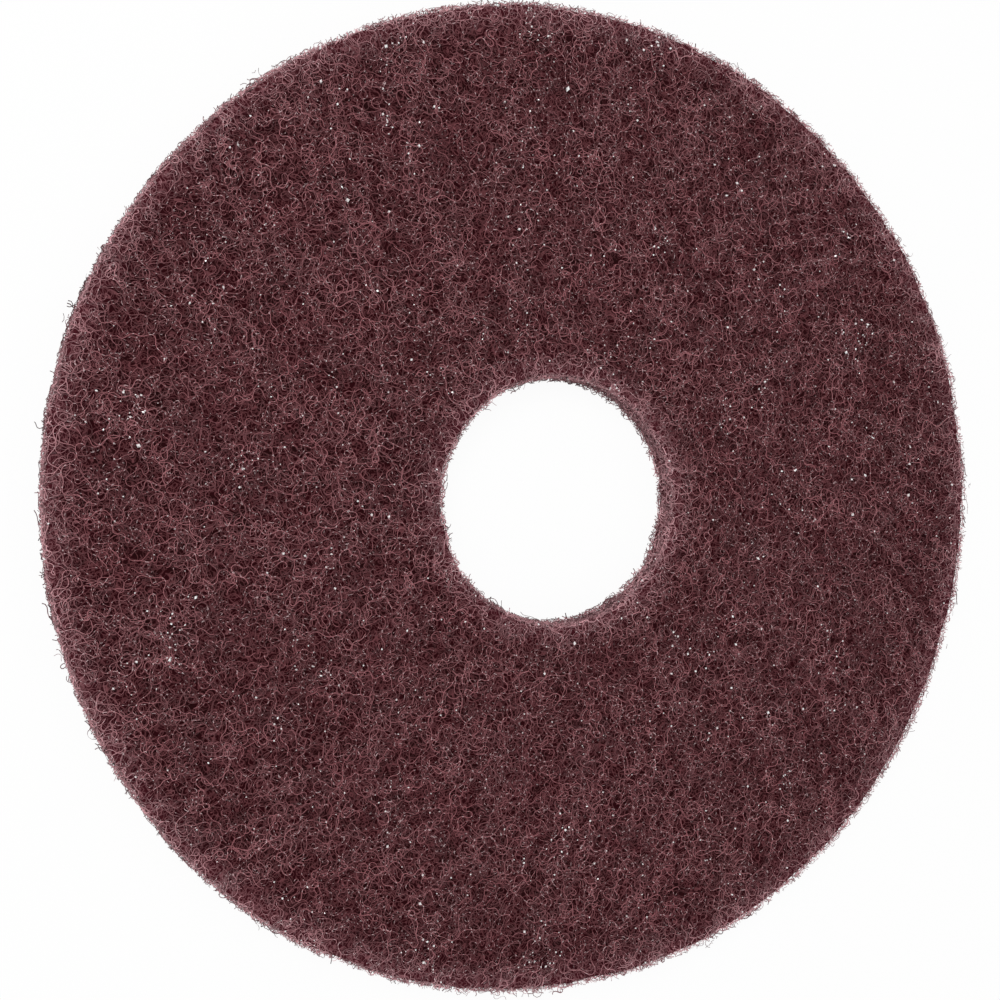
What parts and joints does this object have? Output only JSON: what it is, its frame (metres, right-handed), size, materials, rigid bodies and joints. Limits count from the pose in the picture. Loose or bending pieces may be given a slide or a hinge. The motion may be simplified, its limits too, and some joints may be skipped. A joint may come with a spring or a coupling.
{
  "type": "floor polishing pad",
  "caption": "Round disc of springy non-woven abrasive fibre with a round centre hole, driven flat on a floor by a rotary floor machine.",
  "frame": {"origin": "middle of the bottom face, on the axis of the centre hole", "axes": "+Z along the pad's axis, out of the top face; X and Y lie in the pad's plane"},
  "size_m": [0.3302, 0.3303, 0.0125],
  "materials": {
    "fibre": "matte dark maroon-brown curly fibre web with fine sparkling mineral grains"
  },
  "bodies": {
    "root": {"fibre_pad": "fibre"}
  },
  "joints": []
}
